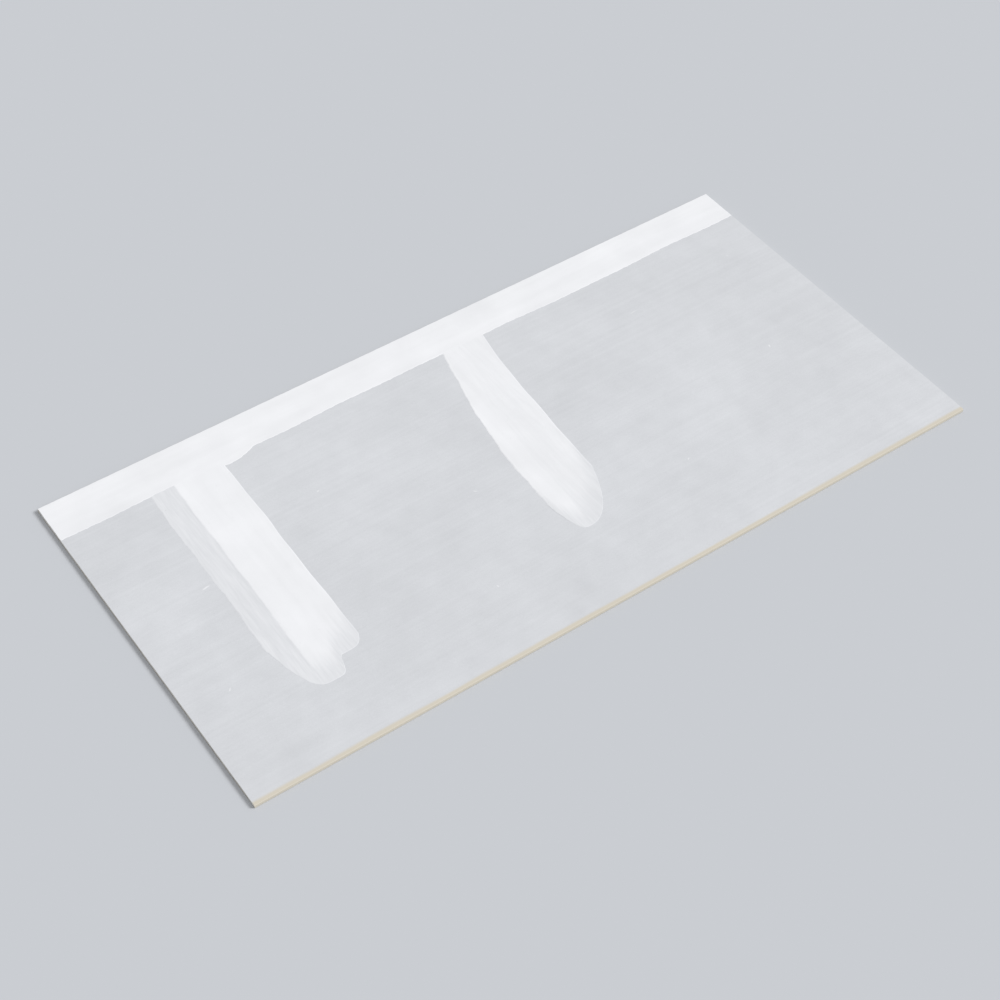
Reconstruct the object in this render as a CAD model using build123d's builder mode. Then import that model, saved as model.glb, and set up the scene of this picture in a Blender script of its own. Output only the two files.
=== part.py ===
"""Drywall sheet: a half-inch gypsum board, 4 by 8 feet, with tapered long edges.

The sheet lies flat with its finished face up. X runs along its length, Y across its width and
Z through its thickness. The origin is the middle of the back face.
"""

from build123d import *
import os

# Stock size, in millimetres
sheet_length = 2438.4
sheet_width = 1219.2
sheet_thickness = 12.7

# The face slopes down beside each long edge, which leaves room for tape and joint compound
taper_width = 60.0
taper_depth = 1.6
taper_shoulder_radius = 800.0

# Folds of the face paper round each long edge
face_fold_radius = 1.5
back_fold_radius = 0.8

half_width = sheet_width / 2
edge_thickness = sheet_thickness - taper_depth
shoulder_position = half_width - taper_width

os.makedirs("parts", exist_ok=True)

with BuildPart() as drywall_sheet:
    # Cross-section, the same all along the sheet
    with BuildSketch(Plane.YZ) as section:
        with BuildLine():
            Polyline(
                (-half_width, 0),
                (half_width, 0),
                (half_width, edge_thickness),
                (shoulder_position, sheet_thickness),
                (-shoulder_position, sheet_thickness),
                (-half_width, edge_thickness),
                close=True,
            )
        make_face()
        fillet(section.vertices().group_by(Axis.Y)[0], back_fold_radius)
        fillet(section.vertices().group_by(Axis.Y)[-2], face_fold_radius)
        fillet(section.vertices().group_by(Axis.Y)[-1], taper_shoulder_radius)

    # Both ends are sawn square
    extrude(amount=sheet_length / 2, both=True)

drywall_sheet.part.label = "drywall_sheet"
export_step(drywall_sheet.part, "parts/drywall_sheet.step")
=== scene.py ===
"""The looks of the drywall sheet: its papers, sawn gypsum ends and dried joint compound.

Lengths are in metres. X runs along the sheet, Y across it and Z through its thickness, with the
back face at zero and the finished face up. The compound lies where the photograph shows it: a
band along one long edge and two strips across the face.
"""

import math

import bpy
import numpy as np
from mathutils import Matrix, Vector


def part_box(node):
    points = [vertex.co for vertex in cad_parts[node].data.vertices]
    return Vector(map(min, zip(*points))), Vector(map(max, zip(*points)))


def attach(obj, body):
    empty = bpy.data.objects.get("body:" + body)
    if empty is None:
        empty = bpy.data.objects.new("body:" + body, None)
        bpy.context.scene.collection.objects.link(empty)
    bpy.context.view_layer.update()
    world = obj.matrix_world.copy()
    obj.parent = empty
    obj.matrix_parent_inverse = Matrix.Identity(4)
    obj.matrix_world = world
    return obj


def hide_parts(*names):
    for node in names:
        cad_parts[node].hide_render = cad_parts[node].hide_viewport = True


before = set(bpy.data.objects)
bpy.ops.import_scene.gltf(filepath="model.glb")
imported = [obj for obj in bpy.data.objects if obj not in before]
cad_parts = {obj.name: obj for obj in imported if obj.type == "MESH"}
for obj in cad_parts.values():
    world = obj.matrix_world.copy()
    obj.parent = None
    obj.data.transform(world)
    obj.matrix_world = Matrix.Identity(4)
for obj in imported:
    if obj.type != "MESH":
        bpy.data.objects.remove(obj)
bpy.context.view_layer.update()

# The sheet, from the frame
SHEET = "drywall_sheet"
sheet_low, sheet_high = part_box(SHEET)
half_length = (sheet_high.x - sheet_low.x) / 2
half_width = (sheet_high.y - sheet_low.y) / 2
thickness = sheet_high.z - sheet_low.z

# Its long edges, as the solid has them
TAPER_WIDTH = 0.060
TAPER_DEPTH = 0.0016
SHOULDER_RADIUS = 0.800
FACE_FOLD = 0.0015
BACK_FOLD = 0.0008

# Papers and core
PAPER = 0.0004
LAP_WIDTH = 0.026
LAP_UNDER_BACK = 0.008
LAP_END = half_width - LAP_WIDTH - LAP_UNDER_BACK
CORE_RECESS = 0.0004

# Their unevenness, each with a seed, the lengths of its waves and its depth
PAPER_SWELL = 11, (0.11, 0.23, 0.61), 0.00006
EDGE_SWAY = 12, (0.37, 0.83, 1.9), 0.00012
SAWN_FUZZ = 13, (0.0031, 0.0083, 0.021, 0.09), 0.00025
LAP_WAVER = 21, (0.19, 0.47, 1.3), 0.0009
BACK_SWELL = 22, (0.13, 0.29), 0.00003
SAWN_GRAIN = 31, (0.0021, 0.0047, 0.013), 0.00016
SAWN_CRUMBLE = 32, (0.028, 0.064), 0.00012

# Where it shows: the swell leaves a margin at the long edges, where the sway comes up instead,
# and the fuzz is at the ends. The near end's grain is read further on, so that the ends differ.
SWELL_MARGIN = 0.02
SWAY_REACH = 0.10
FUZZ_START = 0.99
NEAR_END_SHIFT = 5.0

# Joint compound: how thick it is, and how it ends on the paper
BAND_COAT = 0.00036
BAND_CROWN = 0.00030
STRIP_THIN_COAT = 0.00014
STRIP_FULL_COAT = 0.00034
PASS_RIDGE = 0.00006
PASS_RIDGE_SPREAD = 0.012
PASS_BLEND = 0.035
EDGE_LIP = 0.00010
EDGE_ROLL = 0.0025
LIP_INSET = 1.5 * EDGE_ROLL
LIP_SPREAD = EDGE_ROLL / math.sqrt(2)
COAT_SUNK = 0.00012
BAND_RIM_COVER = 0.75
TIP_COVER = 0.45
TIP_FADE_START = 0.16
TIP_FADE_FULL = 0.02

# How many times longer the knife's streaks are along its stroke than across it
STROKE = 14.0

# The band along the far long edge, which bulges past the near strip and then narrows in a step
BAND_WIDTH = 0.148
BAND_STEP_PLACE = 0.590
BAND_STEP_RUN = 0.045
BAND_STEP = 0.012
BAND_BULGE = 0.013
BAND_END_INSET = 0.0006

# The band's unevenness, as above
BAND_BROAD_WAVER = 166, (0.31, 0.57, 1.1), 0.0045
BAND_FINE_WAVER = 43, (0.011, 0.019, 0.041), 0.0014
BAND_END_WAVER = 41, (0.009, 0.031, 0.083), 0.0005
BAND_RIM_WAVER = 44, (0.011, 0.019, 0.06), 0.0004
BAND_STREAKS = 45, (0.009, 0.017, 0.034), 0.00004

# The strips, which run down from the band. A side has its distance from the near end, at the
# lower and at the upper edge of the sheet, and its curve, which is 1 where it is straight.
NEAR_SIDES = (0.262, 0.288, 1), (0.502, 0.526, 1)
FAR_SIDES = (1.190, 1.345, 3), (1.392, 1.470, 3)
STRIP_UNDER_BAND = 0.006

# Knife passes side by side: start and stop as shares of the strip's width, and cover from 0 to 1
NEAR_PASSES = (-0.1, 0.34, 0.42), (0.32, 0.86, 1.0), (0.80, 1.1, 0.80)
FAR_PASSES = (-0.1, 0.36, 1.0), (0.30, 1.1, 0.74)

# Where passes end: the lowest place, as a share of the width and a height above the lower edge,
# and for either side the height that it gains, the share in which it gains it, and its curve
LONG_LOBE = (0.42, 0.218), (0.200, 0.42, 2.6), (0.060, 0.25, 8)
SHORT_LOBE = (0.70, 0.279), (0.030, 0.26, 4), (0.040, 0.30, 6)
FAR_LOBE = (0.30, 0.265), (0.140, 0.30, 3), (0.190, 0.70, 2.3)
NEAR_LOBES = LONG_LOBE, SHORT_LOBE
FAR_LOBES = (FAR_LOBE,)

# The strips' unevenness, as above, but with seeds that count on from each strip's own
NEAR_SEED = 51
FAR_SEED = 61
LEFT_WAVER = (0.09, 0.23, 0.61), 0.004
LEFT_FINE_WAVER = (0.011, 0.019, 0.041), 0.0012
RIGHT_WAVER = (0.17, 0.43), 0.002
STRIP_STREAKS = (0.008, 0.016, 0.033), 0.00003

# Camera: the photograph's lens, to the left of the sheet's middle and looking down on it, with
# its angles in degrees
FRAME_PIXELS = 1000
FOCAL_PIXELS = 2007
SENSOR_MILLIMETRES = 36.0
CAMERA_AZIMUTH = -35.0
CAMERA_ELEVATION = 48.0
CAMERA_DISTANCE = 5.75
CAMERA_TARGET = Vector((-0.115, -0.108, 0.0))

# Light: shares of the level at which a colour renders as it is written, the direction to the lamp
# and the lamp's spread in degrees
SKY_SHARE = 0.53
LAMP_SHARE = 0.46
LAMP_FROM = Vector((0.62, -0.42, 0.62))
LAMP_SPREAD = 24.0

# Floor
FLOOR_REACH = 300.0
FLOOR_DROP = 0.0002
FLOOR_ROUGHNESS = 0.9


def srgb(red, green, blue):
    """A colour given as 0 to 255 values, as the linear numbers that a shader takes."""
    channels = [value / 255 for value in (red, green, blue)]
    linear = [c / 12.92 if c <= 0.04045 else ((c + 0.055) / 1.055) ** 2.4 for c in channels]
    return (*linear, 1.0)


# Colours
FACE_PALE = srgb(215, 217, 221)
FACE_FLECK = srgb(150, 145, 138)
EDGE_CREAM = srgb(213, 204, 184)
BACK_GREY = srgb(168, 157, 142)
BACK_DARK_FLECK = srgb(105, 96, 86)
BACK_LIGHT_FLECK = srgb(205, 198, 186)
CORE_WHITE = srgb(228, 226, 220)
# Painted shade for the hollows of the core's air bubbles
BUBBLE_PAINTED_SHADE = srgb(170, 166, 158)
COMPOUND_WHITE = srgb(241, 242, 245)
# Painted shade for the hollows of the compound's pits
PIT_PAINTED_SHADE = srgb(190, 187, 180)
FLOOR_PALE = srgb(203, 206, 211)


# Shapes


def smooth_step(low, high, value):
    """Rises softly from 0 at low to 1 at high, or falls where high is the lower one."""
    share = np.clip((value - low) / (high - low), 0.0, 1.0)
    return share * share * (3 - 2 * share)


def hump(value, middle, spread):
    """Rises softly to 1 at the middle and falls again, mostly within the spread."""
    return np.exp(-(((value - middle) / spread) ** 2))


def wander(seed, wavelengths, depth):
    """A line that wavers by about depth, made of waves of the given lengths."""
    draws = np.random.default_rng(seed)
    phases = draws.uniform(0, 2 * math.pi, len(wavelengths))
    sizes = np.sqrt(np.array(wavelengths))
    sizes = depth * sizes / sizes.sum()

    def line(along):
        total = np.zeros_like(along, dtype=float)
        for length, phase, size in zip(wavelengths, phases, sizes):
            total += size * np.sin(2 * math.pi * along / length + phase)
        return total

    return line


def rough(seed, wavelengths, depth, stretch=(1.0, 1.0)):
    """A surface that wavers by about depth, longer along an axis where stretch is more."""
    directions = 5
    draws = np.random.default_rng(seed)
    waves = []
    for length in wavelengths:
        for angle in draws.uniform(0, math.pi, directions):
            waves.append((length, angle, draws.uniform(0, 2 * math.pi)))

    def surface(first, second):
        total = np.zeros_like(first, dtype=float)
        for length, angle, phase in waves:
            run = first / stretch[0] * math.cos(angle) + second / stretch[1] * math.sin(angle)
            total += np.sin(2 * math.pi * run / length + phase)
        return total * depth / math.sqrt(len(waves))

    return surface


def taper_drop(inset):
    """How far the face lies below its flat middle, at a distance in from the long edge."""
    slope = TAPER_DEPTH / TAPER_WIDTH
    blend = SHOULDER_RADIUS * math.tan(math.atan(slope) / 2)
    past = TAPER_WIDTH - inset
    soft = np.clip(past + blend, 0, 2 * blend) ** 2 / (4 * blend)
    return slope * (soft + np.maximum(past - blend, 0))


def fold_drop(inset, radius):
    """How far a rounded edge falls away, at a distance in from the long edge."""
    short = np.maximum(radius - inset, 0)
    return radius - np.sqrt(np.maximum(radius**2 - short**2, 0))


def board_top(across):
    """Height of the face, with its tapers and folds, at a place across the sheet."""
    inset = half_width - np.abs(across)
    return thickness - taper_drop(inset) - fold_drop(inset, FACE_FOLD)


def board_bottom(across):
    """Height of the back, with its folds, at a place across the sheet."""
    return fold_drop(half_width - np.abs(across), BACK_FOLD)


# Areas of a closed piece's map, as left, bottom, right and top: its first side takes the most,
# but the two ends of the core take as much as each other
FIRST_AREA = 0.004, 0.10, 0.996, 0.996
WALL_AREA = 0.004, 0.055, 0.996, 0.09
SECOND_AREA = 0.004, 0.004, 0.996, 0.045
CORE_FAR_AREA = 0.004, 0.54, 0.996, 0.996
CORE_NEAR_AREA = 0.004, 0.10, 0.996, 0.53
LANE_MARGIN = 0.02

# The least turn in degrees between two faces that shows as an edge
SHARP_ANGLE = 40.0


def quads_of(corners):
    """Corner numbers of the squares of a grid of vertex numbers."""
    sides = [corners[:-1, :-1], corners[1:, :-1], corners[1:, 1:], corners[:-1, 1:]]
    return np.stack(sides, axis=-1).reshape(-1, 4)


def wall_quads(numbers):
    """Corner numbers of the ring of squares that joins the borders of a grid and its double."""
    sides = [numbers[:-1, 0], numbers[-1, :-1], numbers[:0:-1, -1], numbers[0, :0:-1]]
    ring = np.concatenate(sides)
    ends = np.roll(ring, -1)
    return np.stack([ring, ring + numbers.size, ends + numbers.size, ends], axis=-1)


def grid_places(rows, columns):
    """Each grid point's share of the way along and across."""
    ticks = np.linspace(0, 1, rows), np.linspace(0, 1, columns)
    return np.stack(np.meshgrid(*ticks, indexing="ij"), axis=-1).reshape(-1, 2)


def wall_places(count):
    """Corner places of a ring of wall squares, laid out in one row."""
    steps = np.arange(count) / count
    nexts = steps + 1 / count
    corners = [(steps, 0), (steps, 1), (nexts, 1), (nexts, 0)]
    return np.stack([np.stack([u, np.full(count, v)], axis=-1) for u, v in corners], axis=1)


def into_area(places, area, lanes=1):
    """Lays squares' corner places into an area of the map, cut into lanes one above another."""
    left, bottom, right, top = area
    lane = np.minimum((places[:, :, 0].mean(axis=1) * lanes).astype(int), lanes - 1)[:, None]
    along = places[:, :, 0] * lanes - lane
    across = (lane + LANE_MARGIN + (1 - 2 * LANE_MARGIN) * places[:, :, 1]) / lanes
    return np.stack([left + (right - left) * along, bottom + (top - bottom) * across], axis=-1)


def faces_inward(first, second):
    """Whether the first grid's squares, as they are wound, face towards the second grid."""
    row, column = first.shape[0] // 2, first.shape[1] // 2
    along = first[row, column] - first[row - 1, column]
    across = first[row, column] - first[row, column - 1]
    return np.dot(np.cross(along, across), first[row, column] - second[row, column]) < 0


def add_piece(name, points, quads, corners):
    """A smooth piece from its points and squares, with the squares' corners on its map."""
    mesh = bpy.data.meshes.new(name)
    mesh.from_pydata(points.tolist(), [], quads.tolist())
    mesh.uv_layers.new(name="OFBake").data.foreach_set("uv", corners.reshape(-1))
    mesh.shade_smooth()
    mesh.set_sharp_from_angle(angle=math.radians(SHARP_ANGLE))
    piece = bpy.data.objects.new(name, mesh)
    bpy.context.scene.collection.objects.link(piece)
    return piece


def solid_between(name, first, second, first_area=FIRST_AREA, second_area=SECOND_AREA, lanes=1):
    """A closed piece from two grids of points, joined along their borders, with its own map."""
    rows, columns = first.shape[:2]
    numbers = np.arange(rows * columns).reshape(rows, columns)
    front = quads_of(numbers)
    back = front[:, ::-1]
    wall = wall_quads(numbers)
    quads = np.concatenate([front, back + numbers.size, wall])

    places = grid_places(rows, columns)
    mapped_front = into_area(places[front], first_area, lanes)
    mapped_back = into_area(places[back], second_area, lanes)
    mapped_wall = into_area(wall_places(len(wall)), WALL_AREA)
    corners = np.concatenate([mapped_front, mapped_back, mapped_wall])
    if faces_inward(first, second):
        quads = quads[:, ::-1]
        corners = corners[:, ::-1]
    points = np.concatenate([first.reshape(-1, 3), second.reshape(-1, 3)])
    return add_piece(name, points, quads, corners)


# Points in each stretch of the face paper's section, and how far past the taper the flat starts
LAP_POINTS = 6
BACK_FOLD_POINTS = 5
EDGE_POINTS = 5
FACE_FOLD_POINTS = 6
TAPER_POINTS = 20
FLAT_POINTS = 42
FLAT_INSET = 0.015

# Rows and columns of the pieces' grids, and the lanes into which a long one's map is cut
FACE_ROWS = 206
BACK_GRID = 164, 62
CORE_GRID = 489, 8
CORE_LANES = 16
BAND_GRID = 611, 40
BAND_LANES = 4
STRIP_GRID = 80, 250

# How much closer the grid lines of the compound lie together at its outline, from 0 to 1
BAND_CROWDING = 0.75
STRIP_CROWDING_BESIDE = 0.8
STRIP_CROWDING_BEYOND = 0.6


def fold_arc(centre, radius, start, stop, count):
    """Points on an arc in the section, from one angle to another in degrees."""
    across, up = centre
    points = []
    for angle in np.radians(np.linspace(start, stop, count)):
        points.append((across + radius * math.cos(angle), up + radius * math.sin(angle)))
    return points


def half_section():
    """Outside of the face paper on one side: lap, folded edge, taper and half of the flat face."""
    tilt = math.degrees(math.atan(TAPER_DEPTH / TAPER_WIDTH))
    back_centre = (half_width - BACK_FOLD, PAPER + BACK_FOLD)
    fold_start = half_width - FACE_FOLD
    face_centre = (fold_start, float(board_top(fold_start)) - FACE_FOLD)
    taper_end = half_width - TAPER_WIDTH - FLAT_INSET

    points = [(y, PAPER) for y in np.linspace(LAP_END, back_centre[0], LAP_POINTS)[:-1]]
    points += fold_arc(back_centre, BACK_FOLD, -90, 0, BACK_FOLD_POINTS)
    edge = np.linspace(back_centre[1], face_centre[1], EDGE_POINTS)[1:-1]
    points += [(half_width, z) for z in edge]
    points += fold_arc(face_centre, FACE_FOLD, 0, 90 - tilt, FACE_FOLD_POINTS)
    taper = np.linspace(fold_start, taper_end, TAPER_POINTS)[1:]
    flat = np.linspace(taper_end, 0, FLAT_POINTS)[1:]
    points += [(y, float(board_top(y))) for y in np.concatenate([taper, flat])]
    return np.array(points)


def inward_of(section):
    """The direction into the board at each point of the section."""
    run = np.gradient(section, axis=0)
    run /= np.linalg.norm(run, axis=1)[:, None]
    return np.stack([-run[:, 1], run[:, 0]], axis=-1)


def make_face_paper():
    """The finished face's paper, folded round both long edges and lapped on the back."""
    side = half_section()
    section = np.concatenate([side, side[-2::-1] * (-1, 1)])
    stations = np.linspace(-half_length, half_length, FACE_ROWS)
    along, across = np.meshgrid(stations, section[:, 0], indexing="ij")
    inset = half_width - np.abs(across)

    swell = rough(*PAPER_SWELL)(along, across)
    swell *= smooth_step(0.0, SWELL_MARGIN, inset) * (section[:, 1] > thickness / 2)
    sway = wander(*EDGE_SWAY)(along) * np.sign(across)
    sway *= smooth_step(SWAY_REACH, 0.0, inset)
    ragged = wander(*SAWN_FUZZ)(across)
    ragged *= smooth_step(FUZZ_START, 1.0, np.abs(along) / half_length)

    def layer(profile):
        heights = np.broadcast_to(profile[:, 1], along.shape) + swell
        return np.stack([along + ragged, profile[:, 0] + sway, heights], axis=-1)

    return solid_between("face_paper", layer(section), layer(section + inward_of(section) * PAPER))


def make_back_paper():
    """The back's paper, which covers the laps of the face paper up to two wavering lines."""
    rows, columns = BACK_GRID
    ticks = np.linspace(-half_length, half_length, rows), np.linspace(-1, 1, columns)
    along, across = np.meshgrid(*ticks, indexing="ij")
    reach = half_width - LAP_WIDTH + wander(*LAP_WAVER)(along) * np.sign(across)
    swell = np.abs(rough(*BACK_SWELL)(along, across * half_width))
    outer = np.stack([along, across * reach, swell], axis=-1)
    return solid_between("back_paper", outer, outer + (0, 0, PAPER))


def make_core():
    """The gypsum between the papers, which shows at the two sawn ends."""
    rim = half_width - PAPER
    rows, columns = CORE_GRID
    ticks = np.linspace(-rim, rim, rows), np.linspace(0, 1, columns)
    across, up = np.meshgrid(*ticks, indexing="ij")
    outer = across * half_width / rim
    over_lap = smooth_step(LAP_END - LAP_UNDER_BACK, LAP_END, np.abs(outer))
    low = board_bottom(outer) + PAPER * (1 + over_lap)
    height = low + (board_top(outer) - PAPER - low) * up
    grain = rough(*SAWN_GRAIN)
    crumble = rough(*SAWN_CRUMBLE)

    def end(side, shift):
        place = across + shift
        depth = CORE_RECESS + np.abs(grain(place, height)) + np.abs(crumble(place, height))
        return np.stack([side * (half_length - depth), across, height], axis=-1)

    far = end(1, 0.0)
    near = end(-1, NEAR_END_SHIFT)
    return solid_between("gypsum_core", far, near, CORE_FAR_AREA, CORE_NEAR_AREA, CORE_LANES)


def coat_solid(name, along, across, height, cover, lanes=1):
    """A coat of compound: its top at a height over the flat face, its underside in the paper.

    The cover is how well it hides the paper, from 0 to 1 at each grid point.
    """
    top = np.stack([along, across, thickness + height], axis=-1)
    under = np.stack([along, across, board_top(across) - COAT_SUNK], axis=-1)
    piece = solid_between(name, top, under, lanes=lanes)
    values = np.tile(cover.reshape(-1), 2)
    piece.data.attributes.new("cover", "FLOAT", "POINT").data.foreach_set("value", values)
    return piece


def crowded(count, amount):
    """Steps from 0 to 1 that lie closer together towards both ends."""
    even = np.linspace(0, 1, count)
    return even - amount * np.sin(2 * math.pi * even) / (2 * math.pi)


def rolled(height, room):
    """A coat's height where room is left to its outline: a small lip, then down into the paper."""
    lip = EDGE_LIP * hump(room, LIP_INSET, LIP_SPREAD)
    share = smooth_step(0.0, EDGE_ROLL, room)
    return (height + lip) * share - COAT_SUNK / 2 * (1 - share)


def band_width(along):
    """How far the band reaches from the joint: it bulges past the near strip, then narrows."""
    past_step = (along + half_length - BAND_STEP_PLACE) / BAND_STEP_RUN
    width = BAND_WIDTH - BAND_STEP * smooth_step(0, 1, past_step)
    width += BAND_BULGE * hump(past_step, middle=-1, spread=1)
    width += wander(*BAND_BROAD_WAVER)(along)
    return width + wander(*BAND_FINE_WAVER)(along)


def make_compound_band():
    """The half of a taped joint's compound that lies on this sheet, along its far long edge."""
    rows, columns = BAND_GRID
    ticks = np.linspace(0, 1, rows), crowded(columns, BAND_CROWDING)
    share, depth = np.meshgrid(*ticks, indexing="ij")
    end_waver = wander(*BAND_END_WAVER)(depth * BAND_WIDTH)
    along = (2 * share - 1) * (half_length - BAND_END_INSET + end_waver)
    width = band_width(along)
    rim = half_width - FACE_FOLD + wander(*BAND_RIM_WAVER)(along)
    free = half_width - width
    across = free + (rim - free) * depth

    room = across - free
    from_joint = (half_width - across) / width
    height = BAND_COAT + BAND_CROWN * np.clip(1 - from_joint**2, 0, 1)
    height += rough(*BAND_STREAKS, stretch=(STROKE, 1.0))(along, across)
    cover = BAND_RIM_COVER + (1 - BAND_RIM_COVER) * smooth_step(0.0, 2 * EDGE_ROLL, room)
    return coat_solid("compound_band", along, across, rolled(height, room), cover, BAND_LANES)


def pass_cover(share, passes):
    """How well a strip covers the paper across its width, from knife passes that overlap."""
    level = np.zeros_like(share)
    for start, stop, amount in passes:
        rise = smooth_step(start - PASS_BLEND, start + PASS_BLEND, share)
        fall = smooth_step(stop + PASS_BLEND, stop - PASS_BLEND, share)
        level = np.maximum(level, amount * rise * fall)
    return level


def lean(side, across):
    """The place along the sheet of a strip's side, which leans from its foot to its top.

    It is straight where its curve is 1, and leans mostly near its top where the curve is more.
    """
    foot, top, curve = side
    upward = (across + half_width) / (2 * half_width)
    return -half_length + foot + (top - foot) * upward**curve


def lobe(share, lowest, left, right):
    """The height of the outline in which a knife pass ends, at a share of the strip's width."""
    place, height = lowest
    for direction, (gain, reach, curve) in ((-1, left), (1, right)):
        height = height + gain * np.clip(direction * (share - place) / reach, 0, None) ** curve
    return height


def make_compound_strip(name, seed, sides, lobes, passes):
    """Compound knifed down over a line of fasteners, from the band to a tip of rounded lobes."""
    left_side, right_side = sides
    rows, columns = STRIP_GRID
    ticks = crowded(rows, STRIP_CROWDING_BESIDE), crowded(columns, STRIP_CROWDING_BEYOND)
    share, run = np.meshgrid(*ticks, indexing="ij")
    top_left = lean(left_side, half_width - BAND_WIDTH)
    top_right = lean(right_side, half_width - BAND_WIDTH)
    top = half_width - band_width(top_left + (top_right - top_left) * share) + STRIP_UNDER_BAND
    tip = -half_width + np.min([lobe(share, *places) for places in lobes], axis=0)
    across = tip + (top - tip) * run

    left = lean(left_side, across) + wander(seed, *LEFT_WAVER)(across)
    left += wander(seed + 1, *LEFT_FINE_WAVER)(across)
    right = lean(right_side, across) + wander(seed + 2, *RIGHT_WAVER)(across)
    along = left + (right - left) * share

    cover = pass_cover(share, passes)
    height = STRIP_THIN_COAT + (STRIP_FULL_COAT - STRIP_THIN_COAT) * cover
    height += PASS_RIDGE * sum(hump(share, start, PASS_RIDGE_SPREAD) for start, _, _ in passes)
    height += rough(seed + 3, *STRIP_STREAKS, stretch=(1.0, STROKE))(along, across)
    beside = np.minimum(share, 1 - share) * (right - left)
    beyond = np.minimum(across - tip, top - across)
    cover += (TIP_COVER - cover) * smooth_step(TIP_FADE_START, TIP_FADE_FULL, across - tip)
    return coat_solid(name, along, across, rolled(height, np.minimum(beside, beyond)), cover)


# Materials: how strongly each kind shines where light grazes it
PAPER_GLOSS = 0.2
CHALK_GLOSS = 0.1

# How many times longer a pattern is along the sheet than across it
FIBRE_RUN = (3, 1, 1)
MILL_RUN = (60, 1, 1)
COCKLE_RUN = (6, 1, 1)
EDGE_RUN = (8, 1, 1)
BACK_RUN = (5, 1, 1)

# The same for the knife's lines in the band and in the strips
KNIFED_ALONG = (12, 1, 1)
KNIFED_DOWN = (1, 12, 1)

# Distances from the sheet's middle line between which the cream edge comes up, and its fraying
CREAM_START = half_width - 0.014
CREAM_FULL = half_width - 0.004
CREAM_FRAY = 0.006

# Where a scuff comes up, from its middle at 0 to its oval outline at 1, and its fraying
SCUFF_START = 1.6
SCUFF_FULL = 0.9
SCUFF_FRAY = 1.2

# How much the knife's lines add to the cover of the compound
LINE_COVER = 0.4

# The share of a speck's radius in which it fades out
SPECK_RIM = 0.2

# Sockets of a Mix node for two colours and their mix
FIRST_COLOUR = 6
SECOND_COLOUR = 7
MIXED_COLOUR = 2


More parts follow.
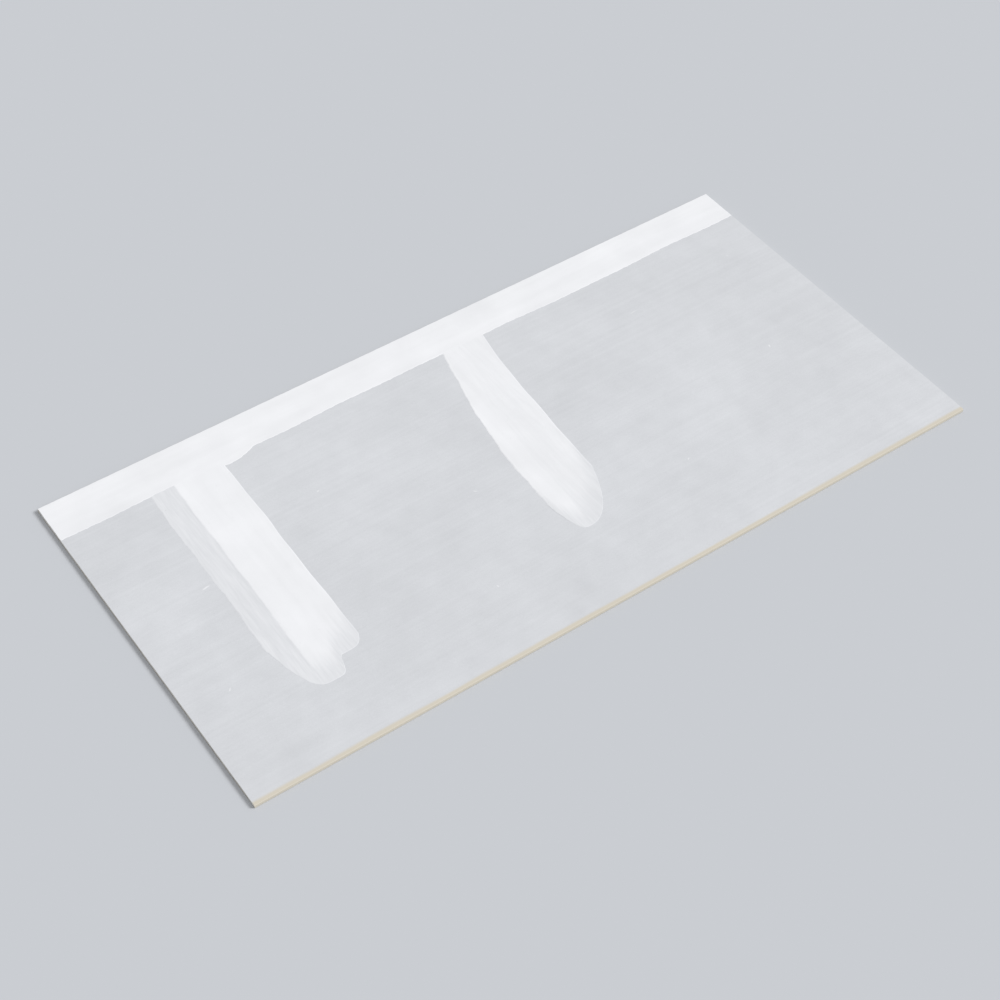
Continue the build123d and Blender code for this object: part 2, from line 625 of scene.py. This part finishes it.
class Graph:
    """One material's nodes, around its Principled shader."""

    def __init__(self, name, gloss):
        self.material = bpy.data.materials.new(name)
        self.material.use_nodes = True
        self.nodes = self.material.node_tree.nodes
        self.links = self.material.node_tree.links
        self.shader = self.nodes["Principled BSDF"]
        self.shader.inputs["Specular IOR Level"].default_value = gloss
        self.place = self.nodes.new("ShaderNodeTexCoord").outputs["Object"]

    def put(self, socket, value):
        """Links a socket to an output, or sets it to a number or colour."""
        if isinstance(value, bpy.types.NodeSocket):
            self.links.new(value, socket)
        else:
            socket.default_value = value

    def compute(self, operation, first, second=0.0, third=0.0):
        """A Math node's result."""
        node = self.nodes.new("ShaderNodeMath")
        node.operation = operation
        for socket, value in zip(node.inputs, (first, second, third)):
            self.put(socket, value)
        return node.outputs[0]

    def rise(self, value, low, high, start=0.0, stop=1.0):
        """A soft rise from start to stop as a value goes from low to high."""
        node = self.nodes.new("ShaderNodeMapRange")
        node.interpolation_type = "SMOOTHSTEP"
        for socket, number in zip(node.inputs, (value, low, high, start, stop)):
            self.put(socket, number)
        return node.outputs[0]

    def mix(self, share, first, second, blend="MIX"):
        """A colour between two colours, or their product."""
        node = self.nodes.new("ShaderNodeMix")
        node.data_type = "RGBA"
        node.blend_type = blend
        self.put(node.inputs[0], share)
        self.put(node.inputs[FIRST_COLOUR], first)
        self.put(node.inputs[SECOND_COLOUR], second)
        return node.outputs[MIXED_COLOUR]

    def scaled(self, kind, scale, shift=(0.0, 0.0, 0.0)):
        """A texture node that reads the place in the sheet at a scale for each axis."""
        mapping = self.nodes.new("ShaderNodeMapping")
        mapping.inputs["Scale"].default_value = scale
        mapping.inputs["Location"].default_value = shift
        self.links.new(self.place, mapping.inputs["Vector"])
        node = self.nodes.new(kind)
        node.inputs["Scale"].default_value = 1.0
        self.links.new(mapping.outputs[0], node.inputs["Vector"])
        return node

    def noise(self, size, detail=2.0, stretch=(1.0, 1.0, 1.0), shift=0.0):
        """Noise whose features measure about size, longer along an axis where stretch is more."""
        scale = [1 / (size * s) for s in stretch]
        node = self.scaled("ShaderNodeTexNoise", scale, (shift, shift, shift))
        node.inputs["Detail"].default_value = detail
        return node.outputs[0]

    def specks(self, spacing, size, share):
        """Round specks: spacing apart, up to size across, in a share of the places."""
        radius = size / spacing / 2
        node = self.scaled("ShaderNodeTexVoronoi", [1 / spacing] * 3)
        draw = self.nodes.new("ShaderNodeSeparateColor")
        self.links.new(node.outputs["Color"], draw.inputs[0])
        chosen = self.compute("LESS_THAN", draw.outputs[0], share)
        reach = self.compute("MULTIPLY", draw.outputs[1], radius)
        near = self.compute("SUBTRACT", reach, node.outputs["Distance"])
        spot = self.rise(near, 0.0, SPECK_RIM * radius)
        return self.compute("MULTIPLY", spot, chosen)

    def vary(self, colour, noise, amount):
        """A colour that gets lighter and darker by about amount with a noise."""
        level = self.compute("MULTIPLY_ADD", noise, 2 * amount, 1 - amount)
        grey = self.nodes.new("ShaderNodeCombineColor")
        for socket in grey.inputs:
            self.links.new(level, socket)
        return self.mix(1.0, colour, grey.outputs[0], "MULTIPLY")

    def dot(self, colour, specks, other, strength):
        """A colour with specks of another one, at a strength from 0 to 1."""
        return self.mix(self.compute("MULTIPLY", specks, strength), colour, other)

    def relief(self, height, depth, under=None):
        """A bump of the given depth, laid over another one."""
        node = self.nodes.new("ShaderNodeBump")
        node.inputs["Distance"].default_value = depth
        self.put(node.inputs["Height"], height)
        if under is not None:
            self.links.new(under, node.inputs["Normal"])
        return node.outputs[0]

    def done(self, colour, roughness, normal):
        """Gives the shader its colour, roughness and relief."""
        self.links.new(colour, self.shader.inputs["Base Color"])
        self.links.new(roughness, self.shader.inputs["Roughness"])
        self.links.new(normal, self.shader.inputs["Normal"])
        return self.material


# Scuffs on the bare paper: distance from the near end and from the lower edge, length, width,
# turn in degrees and strength
SCUFFS = (
    (0.250, 0.690, 0.034, 0.007, 8, 0.80),
    (0.130, 0.350, 0.014, 0.005, 50, 0.65),
    (0.690, 0.820, 0.016, 0.005, 20, 0.60),
    (0.910, 0.235, 0.013, 0.005, 100, 0.70),
    (1.060, 0.560, 0.020, 0.005, 140, 0.55),
    (1.640, 0.310, 0.014, 0.005, 35, 0.65),
    (1.890, 0.900, 0.034, 0.004, 8, 0.45),
    (2.140, 0.540, 0.015, 0.006, 75, 0.70),
    (2.300, 0.940, 0.011, 0.004, 120, 0.60),
)


def scuff_mask(graph, scuff):
    """A ragged oval where the paper is rubbed."""
    along, upward, length, width, turn, strength = scuff
    mapping = graph.nodes.new("ShaderNodeMapping")
    mapping.vector_type = "TEXTURE"
    mapping.inputs["Location"].default_value = (along - half_length, upward - half_width, thickness)
    mapping.inputs["Rotation"].default_value = (0, 0, math.radians(turn))
    mapping.inputs["Scale"].default_value = (length / 2, width / 2, 1)
    graph.links.new(graph.place, mapping.inputs["Vector"])
    distance = graph.nodes.new("ShaderNodeVectorMath")
    distance.operation = "LENGTH"
    graph.links.new(mapping.outputs[0], distance.inputs[0])
    fray = graph.noise(size=0.004, detail=3)
    ragged = graph.compute("MULTIPLY_ADD", fray, SCUFF_FRAY, distance.outputs["Value"])
    return graph.rise(ragged, SCUFF_START, SCUFF_FULL, stop=strength)


def cream_mask(graph):
    """Where the paper turns cream, towards both long edges, with a frayed border."""
    axes = graph.nodes.new("ShaderNodeSeparateXYZ")
    graph.links.new(graph.place, axes.inputs["Vector"])
    outward = graph.compute("ABSOLUTE", axes.outputs["Y"])
    fray = graph.noise(size=0.02, stretch=EDGE_RUN)
    ragged = graph.compute("MULTIPLY_ADD", fray, CREAM_FRAY, outward)
    return graph.rise(ragged, CREAM_START, CREAM_FULL, stop=0.8)


def face_paper_material():
    """Pale recycled paper: soft mottling, mill lines along the sheet, fibres and cream edges."""
    graph = Graph("face paper", PAPER_GLOSS)
    fibres = graph.noise(size=0.0011, detail=3, stretch=FIBRE_RUN)
    mill_lines = graph.noise(size=0.012, stretch=MILL_RUN)
    clouds = graph.noise(size=0.45, detail=3)
    mottling = graph.noise(size=0.06, detail=4, shift=3.1)
    colour = graph.vary(FACE_PALE, clouds, amount=0.09)
    colour = graph.vary(colour, mottling, amount=0.05)
    colour = graph.vary(colour, mill_lines, amount=0.04)
    colour = graph.vary(colour, fibres, amount=0.10)
    flecks = graph.specks(spacing=0.006, size=0.0016, share=0.30)
    colour = graph.dot(colour, flecks, FACE_FLECK, strength=0.3)
    colour = graph.mix(cream_mask(graph), colour, EDGE_CREAM)
    for scuff in SCUFFS:
        colour = graph.mix(scuff_mask(graph, scuff), colour, COMPOUND_WHITE)

    grain = graph.compute("ADD", fibres, mill_lines)
    roughness = graph.rise(grain, low=0.6, high=1.4, start=0.70, stop=0.88)
    fine = graph.noise(size=0.0007, detail=3, stretch=FIBRE_RUN)
    cockle = graph.noise(size=0.03, stretch=COCKLE_RUN)
    normal = graph.relief(fine, depth=0.00008)
    normal = graph.relief(cockle, depth=0.00008, under=normal)
    return graph.done(colour, roughness, normal)


def back_paper_material():
    """Grey-brown recycled paper with coarser fibres and flecks."""
    graph = Graph("back paper", PAPER_GLOSS)
    fibres = graph.noise(size=0.0012, detail=3, stretch=FIBRE_RUN)
    clouds = graph.noise(size=0.3, detail=3)
    streaks = graph.noise(size=0.02, detail=3, stretch=BACK_RUN)
    colour = graph.vary(BACK_GREY, clouds, amount=0.09)
    colour = graph.vary(colour, streaks, amount=0.06)
    colour = graph.vary(colour, fibres, amount=0.14)
    dark = graph.specks(spacing=0.005, size=0.003, share=0.35)
    light = graph.specks(spacing=0.0071, size=0.003, share=0.25)
    colour = graph.dot(colour, dark, BACK_DARK_FLECK, strength=0.5)
    colour = graph.dot(colour, light, BACK_LIGHT_FLECK, strength=0.5)
    roughness = graph.rise(fibres, low=0.3, high=0.7, start=0.84, stop=0.96)
    fine = graph.noise(size=0.0009, detail=3, stretch=FIBRE_RUN)
    return graph.done(colour, roughness, graph.relief(fine, depth=0.0001))


def core_material():
    """Sawn gypsum: chalky, with small air bubbles, whose hollows are darkened with painted shade."""
    graph = Graph("gypsum core", CHALK_GLOSS)
    blotches = graph.noise(size=0.02, detail=3)
    crumbs = graph.noise(size=0.0012, detail=4)
    colour = graph.vary(CORE_WHITE, blotches, amount=0.06)
    colour = graph.vary(colour, crumbs, amount=0.10)
    bubbles = graph.specks(spacing=0.0016, size=0.0011, share=0.5)
    # Painted shade: the bubbles are darkened to stand for the shade in their hollows
    colour = graph.dot(colour, bubbles, BUBBLE_PAINTED_SHADE, strength=0.4)
    grit = graph.compute("SUBTRACT", graph.noise(size=0.0008, detail=4), bubbles)
    roughness = graph.rise(grit, low=0.2, high=0.7, start=0.98, stop=0.88)
    return graph.done(colour, roughness, graph.relief(grit, depth=0.0003))


def compound_material(name, stroke):
    """Dried joint compound: chalk white, with knife lines along the stroke and a few pits, whose
    hollows are darkened with painted shade.

    The paper shows through where the coat is thin.
    """
    graph = Graph(name, CHALK_GLOSS)
    cover = graph.nodes.new("ShaderNodeAttribute")
    cover.attribute_name = "cover"
    lines = graph.noise(size=0.006, detail=3, stretch=stroke, shift=2.3)
    broad_lines = graph.noise(size=0.035, stretch=stroke, shift=5.9)
    clouds = graph.noise(size=0.12, detail=3, shift=1.7)
    white = graph.vary(COMPOUND_WHITE, broad_lines, amount=0.05)
    white = graph.vary(white, clouds, amount=0.06)
    scrape = graph.compute("MULTIPLY_ADD", lines, LINE_COVER, cover.outputs["Fac"])
    colour = graph.mix(graph.rise(scrape, low=0.25, high=1.05), FACE_PALE, white)
    pits = graph.specks(spacing=0.011, size=0.0022, share=0.22)
    # Painted shade: the pits are darkened to stand for the shade in their hollows
    colour = graph.dot(colour, pits, PIT_PAINTED_SHADE, strength=0.25)
    roughness = graph.rise(lines, low=0.3, high=0.7, start=0.76, stop=0.92)
    normal = graph.relief(graph.noise(size=0.0018, detail=3), depth=0.00006)
    normal = graph.relief(lines, depth=0.00015, under=normal)
    unpitted = graph.compute("SUBTRACT", 1.0, pits)
    normal = graph.relief(unpitted, depth=0.0004, under=normal)
    return graph.done(colour, roughness, normal)


# Sheet and compound


def dress(piece, material):
    """Gives a piece its material and its place in the frame."""
    piece.data.materials.append(material)
    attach(piece, "root")


def make_sheet():
    """The board itself, which stands for the solid."""
    face = make_face_paper()
    back = make_back_paper()
    core = make_core()
    dress(face, face_paper_material())
    dress(back, back_paper_material())
    dress(core, core_material())
    for piece in (face, back, core):
        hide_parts(SHEET)


def make_compound():
    """The compound on the face, in pieces that a scene can leave out."""
    band = make_compound_band()
    near = make_compound_strip("compound_strip_near", NEAR_SEED, NEAR_SIDES, NEAR_LOBES, NEAR_PASSES)
    far = make_compound_strip("compound_strip_far", FAR_SEED, FAR_SIDES, FAR_LOBES, FAR_PASSES)
    knifed_along = compound_material("compound knifed along", KNIFED_ALONG)
    knifed_down = compound_material("compound knifed down", KNIFED_DOWN)
    dress(band, knifed_along)
    dress(near, knifed_down)
    dress(far, knifed_down)


# Stage


def make_floor():
    """A plain pale floor under the sheet."""
    signs = (-1, -1), (1, -1), (1, 1), (-1, 1)
    corners = [(x * FLOOR_REACH, y * FLOOR_REACH, 0) for x, y in signs]
    mesh = bpy.data.meshes.new("floor")
    mesh.from_pydata(corners, [], [(0, 1, 2, 3)])
    floor = bpy.data.objects.new("floor", mesh)
    bpy.context.scene.collection.objects.link(floor)
    material = bpy.data.materials.new("floor")
    material.use_nodes = True
    shader = material.node_tree.nodes["Principled BSDF"]
    shader.inputs["Base Color"].default_value = FLOOR_PALE
    shader.inputs["Roughness"].default_value = FLOOR_ROUGHNESS
    shader.inputs["Specular IOR Level"].default_value = 0.0
    mesh.materials.append(material)
    floor.location.z = -FLOOR_DROP


def make_sky():
    """An even sky of light, which is seen in the floor's colour."""
    world = bpy.data.worlds.new("studio")
    world.use_nodes = True
    nodes = world.node_tree.nodes
    links = world.node_tree.links
    light = nodes["Background"]
    light.inputs["Color"].default_value = (1, 1, 1, 1)
    light.inputs["Strength"].default_value = SKY_SHARE
    backdrop = nodes.new("ShaderNodeBackground")
    backdrop.inputs["Color"].default_value = FLOOR_PALE
    rays = nodes.new("ShaderNodeLightPath")
    seen = rays.outputs["Is Camera Ray"]
    for kind in ("Is Glossy Ray", "Is Transmission Ray"):
        either = nodes.new("ShaderNodeMath")
        either.operation = "MAXIMUM"
        links.new(seen, either.inputs[0])
        links.new(rays.outputs[kind], either.inputs[1])
        seen = either.outputs[0]
    choice = nodes.new("ShaderNodeMixShader")
    links.new(seen, choice.inputs[0])
    links.new(light.outputs[0], choice.inputs[1])
    links.new(backdrop.outputs[0], choice.inputs[2])
    links.new(choice.outputs[0], nodes["World Output"].inputs["Surface"])
    bpy.context.scene.world = world


def make_lamp():
    """One broad soft lamp, from the right."""
    source = LAMP_FROM.normalized()
    lamp = bpy.data.lights.new("key", "SUN")
    lamp.angle = math.radians(LAMP_SPREAD)
    lamp.energy = LAMP_SHARE * math.pi / source.z
    key = bpy.data.objects.new("key", lamp)
    key.rotation_mode = "QUATERNION"
    key.rotation_quaternion = (-source).to_track_quat("-Z", "Y")
    bpy.context.scene.collection.objects.link(key)


def make_camera():
    """Looks down on the sheet from beyond its lower edge, at the left, with the band furthest off."""
    azimuth = math.radians(CAMERA_AZIMUTH)
    elevation = math.radians(CAMERA_ELEVATION)
    level = Vector((math.sin(azimuth), -math.cos(azimuth), 0))
    back = level * math.cos(elevation) + Vector((0, 0, math.sin(elevation)))
    data = bpy.data.cameras.new("camera")
    data.sensor_width = SENSOR_MILLIMETRES
    data.lens = SENSOR_MILLIMETRES * FOCAL_PIXELS / FRAME_PIXELS
    camera = bpy.data.objects.new("camera", data)
    camera.location = CAMERA_TARGET + back * CAMERA_DISTANCE
    camera.rotation_mode = "QUATERNION"
    camera.rotation_quaternion = (-back).to_track_quat("-Z", "Y")
    bpy.context.scene.collection.objects.link(camera)
    bpy.context.scene.camera = camera


make_sheet()
make_compound()
make_floor()
make_sky()
make_lamp()
make_camera()
bpy.context.scene.view_settings.view_transform = "Standard"
